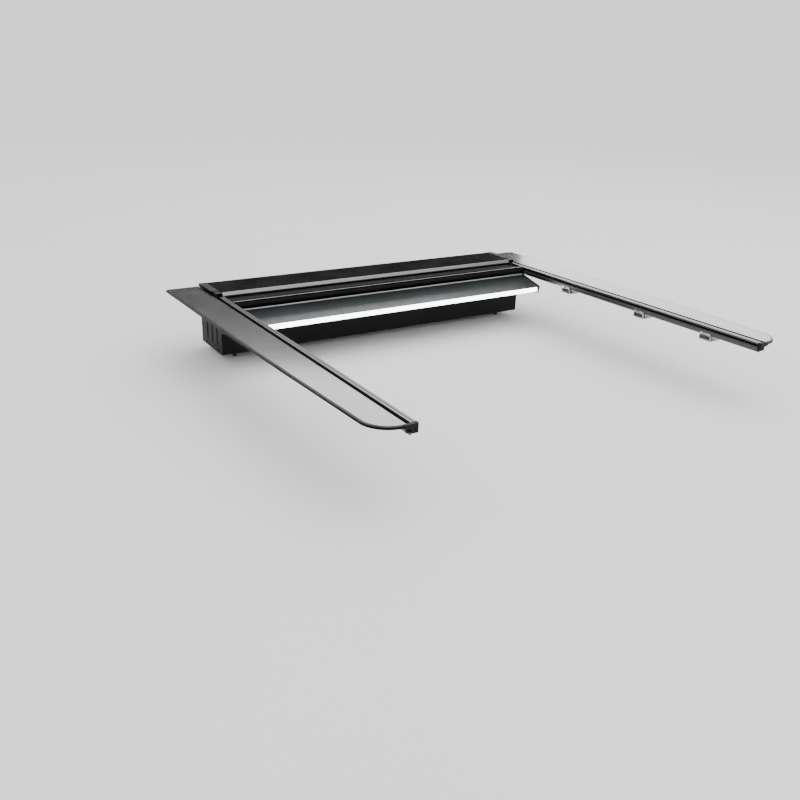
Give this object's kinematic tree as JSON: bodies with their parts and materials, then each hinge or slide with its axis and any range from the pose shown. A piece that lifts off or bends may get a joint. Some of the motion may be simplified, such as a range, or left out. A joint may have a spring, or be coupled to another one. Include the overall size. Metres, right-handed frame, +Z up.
{
  "type": "tonneau cover",
  "caption": "Retractable roller cover for a pickup bed: slatted curtain in two side rails, wound by a motor into a canister with a light strip.",
  "frame": {"origin": "on the top plane of the bed's side rails, on the bed's centre line, at the rear end of the rail caps", "axes": "+X to the right-hand rail as seen from behind, +Y forward to the cab, +Z up"},
  "size_m": [1.682, 1.48, 0.256],
  "materials": {
    "cap_coat": "satin black powder coat, fine texture",
    "rail_coat": "satin black powder coat",
    "shell_coat": "matt black powder coat",
    "lid_coat": "satin charcoal powder coat",
    "nose_alloy": "satin grey anodised",
    "slat_aluminium": "satin black anodised",
    "apron_sheet": "gloss grey-green coat with fine flake",
    "nose_sheet": "satin black",
    "led_alloy": "satin clear anodised",
    "led_lens": "milky white diffuser, lit",
    "board": "white solder mask",
    "rubber": "matt black",
    "foam": "matt black closed-cell foam",
    "nylon": "moulded, fine grain",
    "liner": "smooth low-friction strip",
    "clamp_alloy": "plain cast and machined alloy",
    "zinc_steel": "bright zinc plate",
    "black_screw": "black oxide",
    "galvanised": "galvanised",
    "motor_steel": "grey paint",
    "bearing_steel": "ground steel",
    "gland_nylon": "moulded"
  },
  "bodies": {
    "frame": {"apron_edge_strip": "led_alloy", "apron_panel": "apron_sheet", "bearing_balls": "bearing_steel", "bearing_housing": "shell_coat", "bearing_outer_ring": "bearing_steel", "bulkhead_seal": "rubber", "cable_gland": "gland_nylon", "canister_brackets": "zinc_steel", "canister_floor": "shell_coat", "canister_front_wall": "shell_coat", "canister_lid": "lid_coat", "canister_rear_wall": "shell_coat", "clamp_bolts": "zinc_steel", "clamp_brackets": "clamp_alloy", "clamp_jaws": "clamp_alloy", "clamp_screws": "zinc_steel", "control_module": "nylon", "curtain_run": "slat_aluminium", "drain_spigots": "gland_nylon", "end_plate_screws": "black_screw", "exit_slat": "slat_aluminium", "led_board": "board", "led_channel": "led_alloy", "led_lens": "led_lens", "left_bed_seal": "foam", "left_edge_trim": "rubber", "left_end_plate": "shell_coat", "left_lid_end_cap": "nylon", "left_rail": "rail_coat", "left_rail_cap": "cap_coat", "left_rail_end_cap": "nylon", "left_track_liner": "liner", "lid_nose": "nose_alloy", "lid_screws": "black_screw", "lid_wiper_seal": "rubber", "motor_body": "motor_steel", "motor_head": "nylon", "nose_panel": "nose_sheet", "right_bed_seal": "foam", "right_edge_trim": "rubber", "right_end_plate": "shell_coat", "right_lid_end_cap": "nylon", "right_rail": "rail_coat", "right_rail_cap": "cap_coat", "right_rail_end_cap": "nylon", "right_track_liner": "liner", "roller_bushes": "nylon"},
    "drum": {"drum_tube": "galvanised", "drum_rings": "nylon", "idler_plug": "zinc_steel", "bearing_inner_ring": "bearing_steel", "drive_wheel": "nylon", "crown_ring": "nylon", "anchor_straps": "galvanised", "wound_slats": "slat_aluminium"},
    "guide": {"guide_roller": "rubber"},
    "lead": {"lead_slat": "slat_aluminium", "lead_slat_seal": "rubber", "lead_end_guides": "nylon", "lead_in_slat": "slat_aluminium"}
  },
  "joints": [
    {"name": "drum_spin", "type": "hinge", "parent": "frame", "child": "drum", "pos_m": [0, 1.359, -0.106], "axis": [1, 0, 0], "range_deg": [0, 952.1]},
    {"name": "lead_slide", "type": "slide", "parent": "frame", "child": "lead", "axis": [0, -1, 0], "range_m": [0, 1.188], "deforming": ["curtain_run"]},
    {"name": "guide_roller_spin", "type": "hinge", "parent": "frame", "child": "guide", "pos_m": [0, 1.24, -0.0163], "axis": [1, 0, 0], "range_deg": [0, 6808]}
  ],
  "couplings": [
    {"joint": "lead_slide", "follows": "drum_spin", "m_per_rad": 0.071492},
    {"joint": "guide_roller_spin", "follows": "drum_spin", "ratio": 7.1492}
  ]
}
